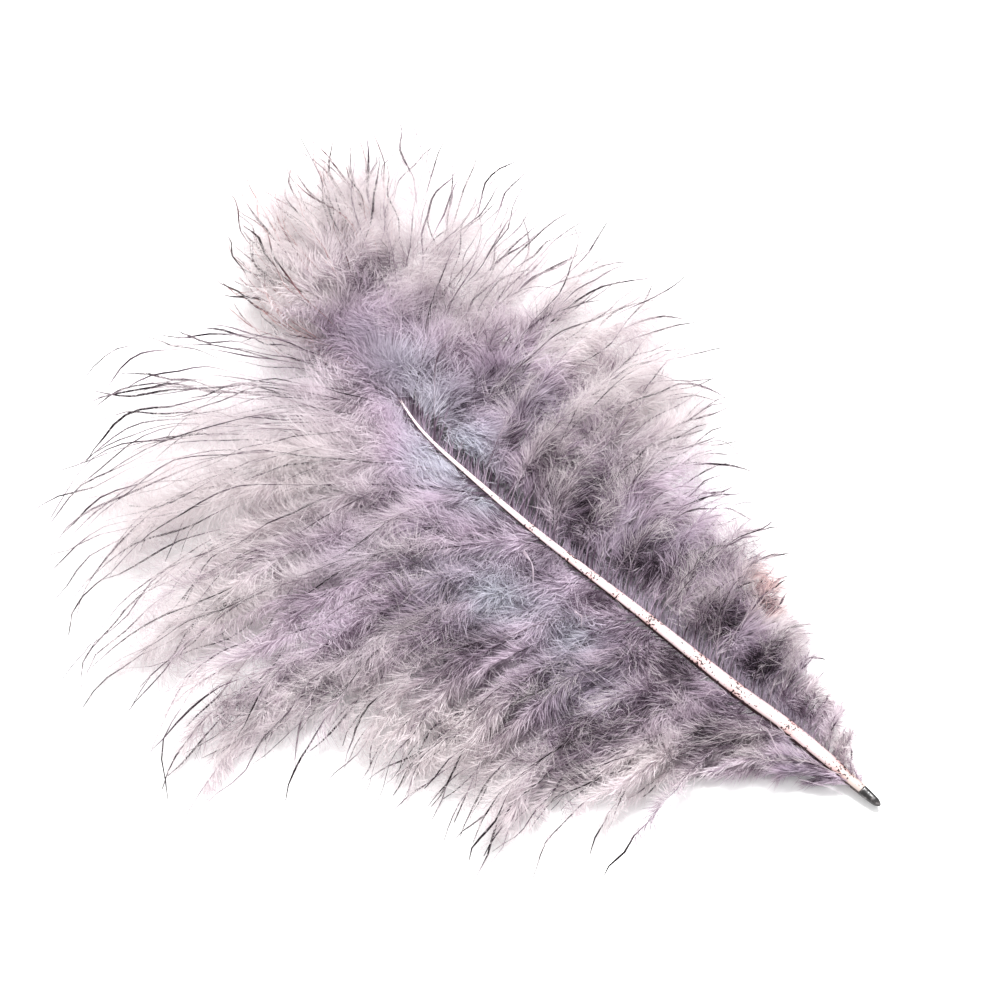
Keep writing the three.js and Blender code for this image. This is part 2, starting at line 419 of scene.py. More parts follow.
# Tinted places: along, across, radius in mm, hue, and how much lighter.
TINTS = [
    [52.3, 15.3, 6.0, BLUE, 0.16],
    [82.4, 2.9, 8.5, BLUE, 0.06],
    [73.0, 8.6, 6.0, BLUE, 0.28],
    [42.0, 12.0, 4.0, BLUE, 0.08],
    [31.0, -11.4, 2.6, RUST_TINGE, 0.14],
    [28.4, -9.0, 2.4, RUST_TINGE, 0.12],
    [47.2, -13.8, 4.4, LILAC, 0.26],
    [108.6, -1.8, 6.0, PINK, 0.3],
    [107.0, -11.6, 5.0, PINK, 0.1],
    [72.5, -23.0, 5.0, PINK, 0.12],
    [97.6, -21.8, 6.0, PINK, 0.12],
    [64.0, 12.2, 4.2, LILAC, 0.12],
    [76.0, 4.6, 4.0, BLUE, 0.12],
    [88.0, 30.5, 7.0, PINK, 0.2],
    [76.8, 39.6, 7.0, PINK, 0.32],
    [46.5, 35.5, 6.0, PINK, 0.12],
    [20.2, 3.8, 2.8, LILAC, 0.22],
    [6.6, -2.0, 2.6, PINK, 0.2],
    [23.3, -7.7, 3.0, PINK, 0.14],
    [56.6, 6.6, 4.2, LILAC, 0.2],
    [62.6, 6.0, 3.6, BLUE, 0.16],
    [43.0, 7.0, 3.2, LILAC, 0.18],
    [45.8, 19.2, 3.0, LILAC, 0.14],
    [93.0, 18.0, 5.0, PINK, 0.08],
    [60.6, -17.4, 5.0, PINK, 0.26],
    [69.0, -17.4, 5.0, PINK, 0.18],
    [105.6, 3.2, 6.0, PINK, 0.24],
    [98.4, -0.4, 4.0, PINK, 0.1],
    [71.0, 24.4, 5.0, LILAC, 0.12],
    [63.4, 32.2, 5.0, LILAC, 0.12],
    [69.0, 4.4, 5.0, BLUE, 0.2],
    [21.8, 17.0, 4.5, PINK, 0.32],
    [25.3, 25.6, 4.0, PINK, 0.26],
    [88.0, 12.6, 9.0, MAUVE, 0.1],
    [50.0, 38.0, 9.0, PINK, 0.16],
    [38.0, 33.0, 7.0, PINK, 0.18],
    [16.0, -6.0, 4.0, PINK, 0.1],
    [42.6, 29.8, 6.0, PINK, 0.08],
    [9.4, -2.8, 3.0, PINK, 0.28],
    [80.0, 14.0, 7.0, MAUVE, 0.12],
    [84.0, 21.0, 9.0, PINK, 0.14],
    [24.0, 19.0, 5.0, PINK, 0.2],
    [17.6, 6.6, 3.6, PINK, 0.12],
]

# The pieces that the down is made in: name, and between which shares of the shaft its barbs grow.
DOWN_PIECES = {
    "broad": [("low", 0, 0.3), ("middle", 0.3, 0.5), ("high", 0.5, 0.75), ("top", 0.75, 1.01)],
    "narrow": [("low", 0, 0.5), ("middle", 0.5, 0.78), ("high", 0.78, 1.01)],
    "crown": [("end", 0, 1.01)],
}


def points_at(wanted, places, line):
    """Points of a line, or rows of a table, interpolated where its places take wanted values."""
    return np.stack([np.interp(wanted, places, column) for column in line.T], axis=-1)


def lookup(table, shares):
    """Columns of a vane's table, interpolated at shares of the shaft."""
    return points_at(shares, table[:, 0], table[:, 1:])


def travelled(line):
    """The distance along a line at each of its points."""
    return np.concatenate([[0], np.cumsum(np.linalg.norm(np.diff(line, axis=0), axis=1))])


def normalised(vectors):
    return vectors / np.maximum(np.linalg.norm(vectors, axis=-1, keepdims=True), 1e-9)


def smoothstep(low, high, values):
    share = np.clip((values - low) / (high - low), 0, 1)
    return share * share * (3 - 2 * share)


def smooth_path(points, count):
    """Evenly spaced points on a smooth curve through the given ones."""
    padded = np.vstack([2 * points[0] - points[1], points, 2 * points[-1] - points[-2]])
    share = np.linspace(0, 1, CURVE_STEPS, endpoint=False)[:, None]
    pieces = []
    for start in range(len(points) - 1):
        before, here, there, after = padded[start:start + 4]
        pieces.append(0.5 * (
            2 * here
            + (there - before) * share
            + (2 * before - 5 * here + 4 * there - after) * share ** 2
            + (3 * here - before - 3 * there + after) * share ** 3
        ))
    fine = np.vstack(pieces + [points[-1:]])
    length = travelled(fine)
    return points_at(np.linspace(0, length[-1], count), length, fine)


def waves(rng, size, count=7):
    """A smooth random field with features of the given size in mm, as a function of points."""
    directions = normalised(rng.normal(size=(count, 3)))
    lengths = size * rng.uniform(*WAVE_LENGTHS, count)
    phases = rng.uniform(0, 2 * np.pi, count)
    frequencies = directions * (np.pi / lengths)[:, None]

    def field(points):
        total = np.zeros(points.shape[:-1])
        for frequency, phase in zip(frequencies, phases):
            total += np.sin(points @ frequency + phase)
        return total / math.sqrt(count / 2)

    return field


def quill_end():
    """Where the CAD shaft ends at the quill, in metres."""
    corners = np.array([vertex.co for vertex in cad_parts["feather"].data.vertices])
    slice_start = corners[:, 0].max() - QUILL_END_SLICE
    return corners[corners[:, 0] > slice_start].mean(axis=0)


QUILL_END = quill_end()
SHAFT_LENGTH = float(travelled(smooth_path(SHAFT_LINE, FINE_STEPS))[-1])


def to_frame(points):
    """Feather measures (along, across, height) in mm as points of the frame in metres."""
    placed = np.empty_like(points, dtype=float)
    placed[..., 0] = QUILL_END[0] - points[..., 0] * MM
    placed[..., 1] = QUILL_END[1] - points[..., 1] * MM
    placed[..., 2] = points[..., 2] * MM
    return placed


def mesh_piece(name, points, loops, sizes, uv, material, smooth=False):
    """A mesh object from arrays of feather points, corner indices, face sizes and corner UVs."""
    mesh = bpy.data.meshes.new(name)
    mesh.vertices.add(len(points))
    mesh.vertices.foreach_set("co", to_frame(points).astype(np.float32).ravel())
    mesh.loops.add(len(loops))
    mesh.loops.foreach_set("vertex_index", loops.astype(np.int32))
    mesh.polygons.add(len(sizes))
    starts = np.concatenate([[0], np.cumsum(sizes)[:-1]])
    mesh.polygons.foreach_set("loop_start", starts.astype(np.int32))
    mesh.polygons.foreach_set("use_smooth", np.full(len(sizes), smooth))
    layer = mesh.uv_layers.new(name=UV_NAME)
    layer.data.foreach_set("uv", uv.astype(np.float32).ravel())
    mesh.materials.append(material)
    mesh.update(calc_edges=True)
    mesh.validate()
    piece = bpy.data.objects.new(name, mesh)
    bpy.context.scene.collection.objects.link(piece)
    return piece


def wear(piece):
    """The piece rides on the feather's one body and stands for its plain solid."""
    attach(piece, "root")
    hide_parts("feather")


# Barbs

class Barbs:
    """Middle lines of many barbs, with what each one's fluff needs."""

    def __init__(self, lines, roots, fluff_ends, haze, bare):
        self.lines = lines
        self.roots = roots
        self.fluff_ends = fluff_ends
        self.haze = haze
        self.bare = bare
        self.reaches = np.linalg.norm(np.diff(lines, axis=1), axis=2).sum(axis=1)
        self.forward = normalised(np.gradient(lines, axis=1))
        self.level = normalised(np.cross(self.forward, UP))
        self.above = np.cross(self.level, self.forward)
        shares = np.linspace(0, 1, FLUFF_SAMPLES)[None, :]
        every = np.arange(len(lines))[:, None]
        self.fluff = self.reaches * fluff_density(self, every, shares).mean(axis=1)


def turned(vectors, angles):
    """Vectors turned in the plane of the surface."""
    cos, sin = np.cos(angles), np.sin(angles)
    result = vectors.copy()
    result[..., 0] = cos * vectors[..., 0] - sin * vectors[..., 1]
    result[..., 1] = sin * vectors[..., 0] + cos * vectors[..., 1]
    return result


def barb_lines(rng, roots, tips, leave_bow, arrive_bow, layer):
    """Bowed lines from the shaft to the given tips: forward first, then out and down."""
    count = len(roots)
    chord = np.concatenate([tips - roots[:, :2], np.zeros((count, 1))], axis=1)
    turn = rng.normal(0, TURN_SPREAD, count)
    calm = np.clip(np.linalg.norm(chord, axis=1) / FULL_TURN_REACH, LEAST_TURN, 1)
    stray = (rng.random(count) < STRAY_SHARE) * rng.uniform(-1, 1, count)
    turn += stray * STRAY_TURN * calm
    chord = turned(chord, turn) * (1 - STRAY_SHORTENING * np.abs(stray))[:, None]
    reach = np.linalg.norm(chord, axis=1)
    leave = turned(chord, rng.normal(0, BOW_SPREAD / 2, count) - leave_bow) * BOW_REACH
    arrive = turned(chord, rng.normal(0, BOW_SPREAD, count) + arrive_bow) * BOW_REACH
    calm = np.clip(reach / FULL_LIFT_REACH, LEAST_LIFT, 1)
    root_height = roots[:, 2]
    tip = roots + chord
    tip_rise = (TIP_HIGH - TIP_LOW) * np.minimum(layer, 1) ** TIP_LAYER_POWER
    tip[:, 2] = TIP_LOW + tip_rise * rng.random(count)
    hip = roots + leave
    hip[:, 2] = root_height + (LIFT_LOW + (LIFT_HIGH - LIFT_LOW) * layer) * calm
    shoulder = tip - arrive
    high = np.minimum(SHOULDER_HIGH, root_height + SHOULDER_OVER_ROOT)
    shoulder[:, 2] = SHOULDER_LOW + (high - SHOULDER_LOW) * layer
    share = np.linspace(0, 1, BARB_POINTS)[None, :, None]
    lines = (
        roots[:, None] * (1 - share) ** 3
        + 3 * hip[:, None] * share * (1 - share) ** 2
        + 3 * shoulder[:, None] * share ** 2 * (1 - share)
        + tip[:, None] * share ** 3
    )
    return wobbled(rng, lines, reach)


def wobbled(rng, lines, reach):
    """Barbs bent by waves and kinks that grow towards their tips, some with a hooked end."""
    straight_tips = lines[:, -1]
    share = np.linspace(0, 1, BARB_POINTS)[None, :]
    forward = normalised(np.gradient(lines, axis=1))
    level = normalised(np.cross(forward, UP))
    one_each = (len(lines), 1)
    for pace, size in (SLOW_WAVE, QUICK_WAVE):
        phase = rng.uniform(0, 2 * np.pi, one_each)
        turns = 2 * np.pi * rng.uniform(*WAVE_PACES, one_each) * pace * share
        amount = rng.uniform(*WAVE_SIZES, one_each) * size * reach[:, None] * share
        lines = lines + level * (amount * (np.sin(turns + phase) - np.sin(phase)))[..., None]
        lines[..., 2] += WAVE_RISE * amount * np.sin(turns + 2 * phase)
    pace, size = KINKS
    turns = 2 * np.pi * rng.uniform(*KINK_PACES, one_each) * pace * share
    turns = turns + rng.uniform(*ANY_PHASE, one_each)
    kinks = np.arcsin(np.sin(turns)) * size * reach[:, None] * share
    hooked = rng.random(one_each) < HOOK_SHARE
    hooks = hooked * rng.uniform(-HOOK, HOOK, one_each) * reach[:, None] * share ** HOOK_POWER
    lines = lines + level * (kinks + hooks)[..., None]
    drift = lines[:, -1] - straight_tips
    lines = lines - TIP_HOLD * drift[:, None] * share[..., None] ** TIP_HOLD_POWER
    lines[..., 2] = np.maximum(lines[..., 2], LEAST_HEIGHT * 2)
    return lines


def root_shares(rng, table):
    """Where barbs grow: evenly along the shaft, and closer where their tips fan out."""
    grid = np.linspace(FIRST_ROOT, 1, ROOT_GRID)
    tips = lookup(table, grid)[:, :2]
    fanning = np.linalg.norm(np.gradient(tips, axis=0), axis=1)
    pace = 1 + fanning / fanning.mean()
    place = np.cumsum(pace) / pace.sum()
    even = (np.arange(BARBS_PER_VANE) + rng.uniform(0, 1, BARBS_PER_VANE)) / BARBS_PER_VANE
    return np.interp(even, place, grid)


def vane(rng, table, outward, bare, shaft):
    """One vane's barbs. outward is 1 for the broad vane and -1 for the narrow one."""
    count = BARBS_PER_VANE
    shares = root_shares(rng, table)
    roots = points_at(shares, np.linspace(0, 1, len(shaft)), shaft)
    roots[:, 2] += rng.uniform(*ROOT_HEIGHTS, count)
    lock = np.floor(shares * LOCKS_PER_VANE + rng.normal(0, LOCK_SPREAD, count))
    lock_shares = (lock + 0.5) / LOCKS_PER_VANE
    gathered = np.clip(shares + LOCK_PULL * (lock_shares - shares), 0, 1)
    aims = lookup(table, gathered)
    keep = LONGEST_REACH - REACH_SPREAD * rng.random(count) ** VANE_REACH_POWER
    tips = roots[:, :2] + (aims[:, :2] - roots[:, :2]) * keep[:, None]
    bows = np.radians(aims[:, 3:5]) * outward
    haze = aims[:, 5] * rng.uniform(*HAZE_SPREAD, count)
    loose = rng.random(count) < LOOSE_SHARE
    layer = np.where(loose, LOOSE_LAYER, rng.random(count) ** UPPER_CROWDING)
    lines = barb_lines(rng, roots, tips, bows[:, 0], bows[:, 1], layer)
    fluff_ends = aims[:, 2] * np.where(loose, LOOSE_FLUFF, 1)
    reach = np.linalg.norm(tips - roots[:, :2], axis=1)
    return Barbs(lines, shares, fluff_ends, haze, np.minimum(bare, MOST_BARE_SHARE * reach))


def crown(rng, shaft):
    """The barbs at the shaft's very end, which fan out forward between the two vanes."""
    count = CROWN_BARBS
    fan = (np.arange(count) + rng.uniform(0, 1, count)) / count
    spread = fan[:, None]
    bulge = CROWN_MIDDLE - CROWN_EDGES.mean(axis=0)
    tips = (
        (1 - spread) * CROWN_EDGES[0]
        + spread * CROWN_EDGES[1]
        + 4 * spread * (1 - spread) * bulge
    )
    roots = shaft[-1] + (shaft[-CROWN_ROOT_STEPS] - shaft[-1]) * rng.random((count, 1))
    keep = LONGEST_REACH - REACH_SPREAD * rng.random((count, 1)) ** CROWN_REACH_POWER
    tips = roots[:, :2] + (tips - roots[:, :2]) * keep
    flat = np.zeros(count)
    lines = barb_lines(rng, roots, tips, flat, flat, rng.random(count))
    haze = np.interp(fan, CROWN_PLACES, CROWN_HAZES) * rng.uniform(*HAZE_SPREAD, count)
    fluff_ends = np.interp(fan, CROWN_PLACES, CROWN_FLUFF_ENDS)
    return Barbs(lines, flat + 1, fluff_ends, haze, flat + CROWN_BARE_BASE)


# Colour of the down, as tone and hue

def nearness(points, along, across, radius):
    """1 at a place on the feather, falling to 0 away from it."""
    away = (points[..., 0] - along) ** 2 + (points[..., 1] - across) ** 2
    return np.exp(-away / radius ** 2)


def roughness(points):
    """How much neighbouring barbules differ in tone: less in the smooth places."""
    rough = np.ones(points.shape[:-1])
    for along, across, radius, amount in SMOOTH_PLACES:
        rough = rough * (1 - amount * nearness(points, along, across, radius))
    return rough


def painted(points, tones, hues, take):
    """Tone and hue after the dark places, part tufts and part painted shade, and the tinted places.
    take says how dark each strand goes.
    """
    for along, across, radius, amount in DARK_TUFTS_AND_SHADE:
        tones = tones - amount * nearness(points, along, across, radius) * take
    for along, across, radius, hue, amount in TINTS:
        near = nearness(points, along, across, radius)
        tones = tones + amount * near
        hues = hues + (hue - hues) * near
    return tones, hues


def corner_uv(tones, hues, sides):
    """UVs whose place says the colour: tone across, hue up, spread a little so no face is empty."""
    span = 1 - 2 * UV_MARGIN
    u = UV_MARGIN + span * np.clip(tones, 0, 1)
    v = UV_MARGIN + span * np.clip(hues, 0, 1) + sides * UV_HALF_WIDTH
    return np.stack([u, v], axis=-1)


def around(place, stretch, shares):
    """A smooth step from 0 to 1 over a stretch that is given against a place."""
    return smoothstep(place + stretch[0], place + stretch[1], shares)


# Meshes of the down

def core_mesh(name, barbs, rng, material, shares, radii, tone_at):
    """Every barb's core as a three-sided tapering rod with a closed tip."""
    lines = barbs.lines
    count, steps = lines.shape[:2]
    share = np.linspace(0, 1, steps)
    phase = rng.uniform(*ANY_PHASE, (count, 1))
    knots = np.sin(phase + rng.uniform(*KNOT_PACES, (count, 1)) * share)
    radius = np.interp(share, shares, radii)[None, :] * rng.uniform(*CORE_SPREAD, (count, 1))
    radius = (radius * (1 + KNOT_THICKENING * knots))[:, :, None, None]
    angles = np.arange(CORE_SIDES) * 2 * np.pi / CORE_SIDES + np.pi / 2
    ring = (
        barbs.level[:, :, None] * np.cos(angles)[:, None]
        + barbs.above[:, :, None] * np.sin(angles)[:, None]
    )
    points = lines[:, :, None] + ring * radius
    points[..., 2] = np.maximum(points[..., 2], LEAST_HEIGHT)
    index = np.arange(count * steps * CORE_SIDES).reshape(count, steps, CORE_SIDES)
    after = np.roll(index, -1, axis=2)
    quads = np.stack([index[:, :-1], after[:, :-1], after[:, 1:], index[:, 1:]], axis=-1)
    loops = np.concatenate([quads.reshape(-1), index[:, -1].reshape(-1)])
    sizes = np.concatenate([np.full(quads.size // 4, 4), np.full(count, CORE_SIDES)])
    tones, hues = tone_at(lines, share)
    tones = np.repeat(tones - KNOT_DARKENING * knots, CORE_SIDES)
    hues = np.repeat(hues, CORE_SIDES)
    sides = np.tile([-1.0, 0.0, 1.0], count * steps)
    uv = corner_uv(tones[loops], hues[loops], sides[loops])
    return mesh_piece(name, points.reshape(-1, 3), loops, sizes, uv, material)


def fluff_density(barbs, owner, share):
    """How thick the barbules stand at shares of their barbs, from 0 to 1."""
    out = share * barbs.reaches[owner]
    bare = barbs.bare[owner]
    start = smoothstep(FLUFF_STARTS[0] * bare, FLUFF_STARTS[1] * bare, out)
    full = 1 - around(barbs.fluff_ends[owner], FLUFF_FADES, share)
    haze = barbs.haze[owner] * (1 - smoothstep(*HAZE_FADES, share))
    return start * np.clip(np.maximum(full, haze), 0, 1)


def drooping(roots, outer):
    """How the fluff leans back towards the quill and outward: not at the ends, nor in the haze."""
    middle = np.interp(roots[:, 0], SHAFT_LINE[:, 0], SHAFT_LINE[:, 1])
    away = np.where(roots[:, 1] > middle, DROOP_OUTWARD, -DROOP_OUTWARD)
    amount = DROOP * smoothstep(*DROOP_BEGINS, roots[:, 0])
    amount = amount * (1 - smoothstep(*DROOP_FADES, roots[:, 0])) * (1 - outer)
    return np.stack([-amount, away * amount, 0 * amount], axis=-1)


def pressed(heights):
    """Heights in mm with what stands above the soft top pressed down."""
    return np.minimum(heights, SOFT_TOP) + SOFT_TOP_SHARE * np.maximum(heights - SOFT_TOP, 0)


def grow_barbules(barbs, rng, wanted):
    """Picks a barb and a place on it for every barbule, thick where the fluff is thick."""
    chance = barbs.reaches / barbs.reaches.sum()
    owners, shares = [], []
    found = 0
    while found < wanted:
        owner = rng.choice(len(chance), wanted, p=chance)
        share = rng.random(wanted)
        kept = rng.random(wanted) < fluff_density(barbs, owner, share)
        owners.append(owner[kept])
        shares.append(share[kept])
        found += int(kept.sum())
    return np.concatenate(owners)[:wanted], np.concatenate(shares)[:wanted]


def along_barbs(values, owner, share):
    """Values given at the points of every barb, taken at shares of some barbs."""
    place = share * (BARB_POINTS - 1)
    low = np.minimum(place.astype(int), BARB_POINTS - 2)
    mix = (place - low)[:, None]
    return values[owner, low] * (1 - mix) + values[owner, low + 1] * mix


class Spots:
    """Where barbules grow: on which barb, how far along it, and how the fluff is there."""

    def __init__(self, barbs, rng, wanted):
        self.owner, self.share = grow_barbules(barbs, rng, wanted)
        self.root = along_barbs(barbs.lines, self.owner, self.share)
        self.forward = normalised(along_barbs(barbs.forward, self.owner, self.share))
        self.level = normalised(along_barbs(barbs.level, self.owner, self.share))
        self.end = barbs.fluff_ends[self.owner]
        self.outer = around(self.end, HAZE_BEGINS, self.share)
        silky = 1 - smoothstep(*SILKY_ROOTS, barbs.roots[self.owner])
        self.silk = silky * (self.root[:, 1] > 0)


def blade_directions(rng, spots, fields):
    """Where the first and second half of each barbule head: in two rows that splay and lean."""
    count = len(spots.share)
    row = np.where(rng.random(count) < 0.5, 0.0, np.pi)
    roll = row + rng.normal(0, ROLL_SPREAD, count)
    above = np.cross(spots.level, spots.forward)
    outward = spots.level * np.cos(roll)[:, None] + above * np.sin(roll)[:, None] * ROW_FLATNESS
    bend = np.stack([field(spots.root) for field in fields["bend"]], axis=-1) * TUFT_BEND
    bend[:, 2] *= TUFT_FLATNESS
    bend *= (1 - SILK_BEND_LOSS * spots.silk)[:, None]
    droop = drooping(spots.root, spots.outer)
    loose = 1 + HAZE_JITTER * spots.outer - SILK_JITTER_LOSS * spots.silk
    jitter = rng.normal(0, JITTER, (count, 3)) * loose[:, None]
    calm = (1 - (1 - HAZE_LEAN) * spots.outer - SILK_LEAN_LOSS * spots.silk)[:, None]
    lean = ROOT_LEAN * calm * rng.uniform(*ROOT_LEAN_SPREAD, count)[:, None]
    first = spots.forward * np.cos(lean) + outward * np.sin(lean)
    first = normalised(first + bend * ROOT_BEND + droop * ROOT_DROOP + jitter)
    lean = TIP_LEAN * calm * rng.uniform(*TIP_LEAN_SPREAD, count)[:, None]
    second = spots.forward * np.cos(lean) + outward * np.sin(lean)
    return first, normalised(second + bend * TIP_BEND + droop + jitter)


def blade_lengths(rng, barbs, spots):
    """How long each barbule is, in mm."""
    length = BARBULE_LENGTH * rng.uniform(*LENGTH_SPREAD, len(spots.share))
    near = smoothstep(0, NEAR_REACH, spots.share * barbs.reaches[spots.owner])
    length *= NEAR_LENGTH + (1 - NEAR_LENGTH) * near
    length *= 1 - (1 - HAZE_LENGTH) * spots.outer
    along = smoothstep(*QUILL_STRETCH, barbs.roots[spots.owner])
    return length * (QUILL_LENGTH + (1 - QUILL_LENGTH) * along)


def blade_colours(rng, spots, middle, rough, stroke, fields):
    """Tone and hue at the four corners of each barbule."""
    count = len(middle)
    tone = MIDDLE_TONE + BLOTCH_TONE * fields["blotch"](middle)
    tone = tone + STREAK_TONE * fields["streak"](middle) * rough
    tone += (fields["barb_tone"][spots.owner] + rng.normal(0, STRAND_CONTRAST, count)) * rough
    tone += SILK_TONE * spots.silk
    tone += OUTER_LIGHTENING * around(spots.end, LIGHTENS, spots.share)
    hue = LILAC + TINT_HUE * fields["tint"](middle) * (1 - spots.outer)
    hue = np.minimum(hue + (PINK - LILAC) * around(spots.end, TURNS_PINK, spots.share), PINK)
    tone += BROAD_TONE * smoothstep(*BROAD_BEGINS, middle[:, 1])
    tone -= DARK_STROKE * stroke
    # Darker places, partly tufts and partly painted shade, then the tinted places.
    tone, hue = painted(middle, tone, hue, rng.uniform(*TUFT_AND_SHADE_TAKE, count))
    # Each barbule is painted darker at its root as shade and lighter at its tip as a highlight.
    tones = tone[:, None] + rough[:, None] * BLADE_SHADE_AND_HIGHLIGHT
    return tones, np.repeat(hue[:, None], 4, axis=1)


def barbule_mesh(name, barbs, rng, fields, wanted, material):
    """Every barbule as a thin blade of two triangles, bent where they meet."""
    spots = Spots(barbs, rng, wanted)
    first, second = blade_directions(rng, spots, fields)
    length = blade_lengths(rng, barbs, spots)
    middle = spots.root + first * (length * BEND_PLACE)[:, None]
    tip = middle + second * (length * (1 - BEND_PLACE))[:, None]
    clear = clear_of_shaft(middle) & clear_of_shaft(tip)

    facing = normalised(UP * FACING_UP + rng.normal(0, FACING_SPREAD, (wanted, 3)))
    across = normalised(np.cross(first + second, facing))
    half = BARBULE_HALF_WIDTH * rng.uniform(*WIDTH_SPREAD, wanted)
    half *= 1 - (1 - HAZE_WIDTH) * spots.outer

    # A few dark ones lie on top as fine strokes.
    rough = roughness(middle)
    patchy = 1 + STROKE_PATCHINESS * fields["blotch"](middle + STROKE_PATCH_SHIFT)
    chance = DARK_STROKE_SHARE * rough * patchy
    stroke = (rng.random(wanted) < chance) * (1 - STROKE_FADE * spots.outer)
    half *= 1 - STROKE_THINNING * stroke
    rise = np.zeros((wanted, 3))
    rise[:, 2] = stroke * rng.uniform(*STROKE_RISE, wanted)
    root, middle, tip = spots.root + rise, middle + rise, tip + rise
    side = across * half[:, None]
    points = np.stack([root, middle - side, middle + side, tip], axis=1)
    points[..., 2] = pressed(np.maximum(points[..., 2], LEAST_HEIGHT))
    tones, hues = blade_colours(rng, spots, middle, rough, stroke, fields)
    sides = np.tile([0.0, -1.0, 1.0, 0.0], (wanted, 1))

    points = points[clear]
    loops = (np.arange(len(points))[:, None] * 4 + BLADE_CORNERS).ravel()
    sizes = np.full(2 * len(points), 3)
    corners = [values[clear][:, BLADE_CORNERS].ravel() for values in (tones, hues, sides)]
    return mesh_piece(name, points.reshape(-1, 3), loops, sizes, corner_uv(*corners), material)


def clear_of_shaft(points):
    """Which points don't lie over the shaft, which the down leaves in view."""
    share = points[:, 0] / SHAFT_LINE[-1, 0]
    middle = np.interp(points[:, 0], SHAFT_LINE[:, 0], SHAFT_LINE[:, 1])
    room = np.interp(share, SHAFT_WIDTH_SHARES, SHAFT_HALF_WIDTHS) + SHAFT_ROOM
    over = np.abs(points[:, 1] - middle - SHAFT_LEAN) < room
    return ~(over & (share < 1))


def even_tones(tone, hue):
    """A tone function that gives all strands one tone, or each its own, and one hue."""

    def tone_at(lines, share):
        even = np.zeros(lines.shape[:2])
        return tone + even, hue + even

    return tone_at


def base_strands(rng, shaft, material):
    """Short bare strands close together on the narrow side, where the fluff hasn't begun."""
    count = BASE_STRANDS
    low, high = BASE_STRAND_STRETCH
    shares = low + (high - low) * (np.arange(count) + rng.uniform(0, 1, count)) / count
    roots = points_at(shares, np.linspace(0, 1, len(shaft)), shaft)
    roots[:, 2] -= rng.uniform(*BASE_STRAND_SINKING, count)
    angle = -BASE_STRAND_ANGLE + rng.normal(0, BASE_STRAND_TURN, count)
    ahead = np.stack([np.cos(angle), np.sin(angle)], axis=-1)
    reach = BASE_STRAND_REACH * rng.uniform(*BASE_STRAND_SPREAD, count)
    reach = reach * smoothstep(*BASE_STRAND_GROWTH, shares)
    tips = roots[:, :2] + ahead * reach[:, None]
    flat = np.zeros(count)
    lines = barb_lines(rng, roots, tips, flat, flat, flat + BASE_STRAND_LAYER)
    strands = Barbs(lines[:, ::BASE_STRAND_POINT_STEP], shares, flat, flat, flat + 1)
    tones = rng.normal(BASE_STRAND_TONE, BASE_STRAND_CONTRAST, (count, 1))
    piece = core_mesh("barbs_base", strands, rng, material, [0, 1], BASE_STRAND_RADII,
                      even_tones(tones, BASE_STRAND_HUE))
    wear(piece)


def pale_strands(rng, material):
    """The few pale strands that lie loose on the down."""
    one = np.ones(1)
    for number, (points, radius) in enumerate(PALE_STRANDS, 1):
        line = smooth_path(np.array(points), BARB_POINTS)[None]
        strand = Barbs(line, 0 * one, 0 * one, 0 * one, one)
        radii = radius * np.array(PALE_STRAND_RADII)
        piece = core_mesh(f"pale_strand_{number}", strand, rng, material, PALE_STRAND_SHARES,
                          radii, even_tones(PALE_STRAND_TONE, PALE_STRAND_HUE))
        wear(piece)


def part_of(barbs, low, high, fields):
    """The barbs whose roots lie between two shares of the shaft, and their tones."""
    chosen = (barbs.roots >= low) & (barbs.roots < high)
    some = Barbs(barbs.lines[chosen], barbs.roots[chosen], barbs.fluff_ends[chosen],
                 barbs.haze[chosen], barbs.bare[chosen])
    return some, dict(fields, barb_tone=fields["barb_tone"][chosen])


# Materials

# How much light comes through the down, and features to a metre in the horn.
LIGHT_THROUGH = 0.56
HORN_LINES_PER_METRE = 4000
HORN_LINE_STRETCH = 0.06
TIP_PATCHES_PER_METRE = 1500

# A rod's caps on the UV map: radius and middle as shares of the margin.
CAP_RADIUS, CAP_MIDDLE = 0.3, 0.4


def new_material(name):
    material = bpy.data.materials.new(name)
    material.use_nodes = True
    nodes = material.node_tree.nodes
    nodes.clear()
    return material, nodes, material.node_tree.links


def ramp(nodes, links, factor, stops):
    """Colours of a ramp of (place, red, green, blue) stops in display values from 0 to 255."""
    places = [place for place, *_ in stops]
    colours = [[linear(value) for value in colour] for _, *colour in stops]
    return linear_ramp(nodes, links, factor, places, colours)


def linear_ramp(nodes, links, factor, places, colours):
    """Colours of a ramp that are given in linear light."""
    node = nodes.new("ShaderNodeValToRGB")
    elements = node.color_ramp.elements
    while len(elements) < len(places):
        elements.new(0.5)
    for element, place, colour in zip(elements, places, colours):
        element.position = place
        element.color = (*colour, 1)
    links.new(factor, node.inputs["Fac"])
    return node.outputs["Color"]


def linear(value):
    """A display value from 0 to 255 as linear light."""
    share = value / 255
    return share / 12.92 if share <= 0.04045 else ((share + 0.055) / 1.055) ** 2.4


def multiplied(nodes, links, first, second):
    mix = nodes.new("ShaderNodeMix")
    mix.data_type = "RGBA"
    mix.blend_type = "MULTIPLY"
    mix.inputs["Factor"].default_value = 1
    links.new(first, mix.inputs["A"])
    links.new(second, mix.inputs["B"])
    return mix.outputs["Result"]


def uv_axes(nodes, links):
    """The two coordinates of the UV map."""
    place = nodes.new("ShaderNodeUVMap")
    place.uv_map = UV_NAME
    split = nodes.new("ShaderNodeSeparateXYZ")
    links.new(place.outputs["UV"], split.inputs["Vector"])
    return split.outputs["X"], split.outputs["Y"]


def surface_shader(nodes, roughness, specular=0.5):
    surface = nodes.new("ShaderNodeBsdfPrincipled")
    surface.inputs["Roughness"].default_value = roughness
    surface.inputs["Specular IOR Level"].default_value = specular
    return surface


def show(nodes, links, shader):
    """Makes a shader the material's surface."""
    output = nodes.new("ShaderNodeOutputMaterial")
    links.new(shader.outputs[0], output.inputs["Surface"])


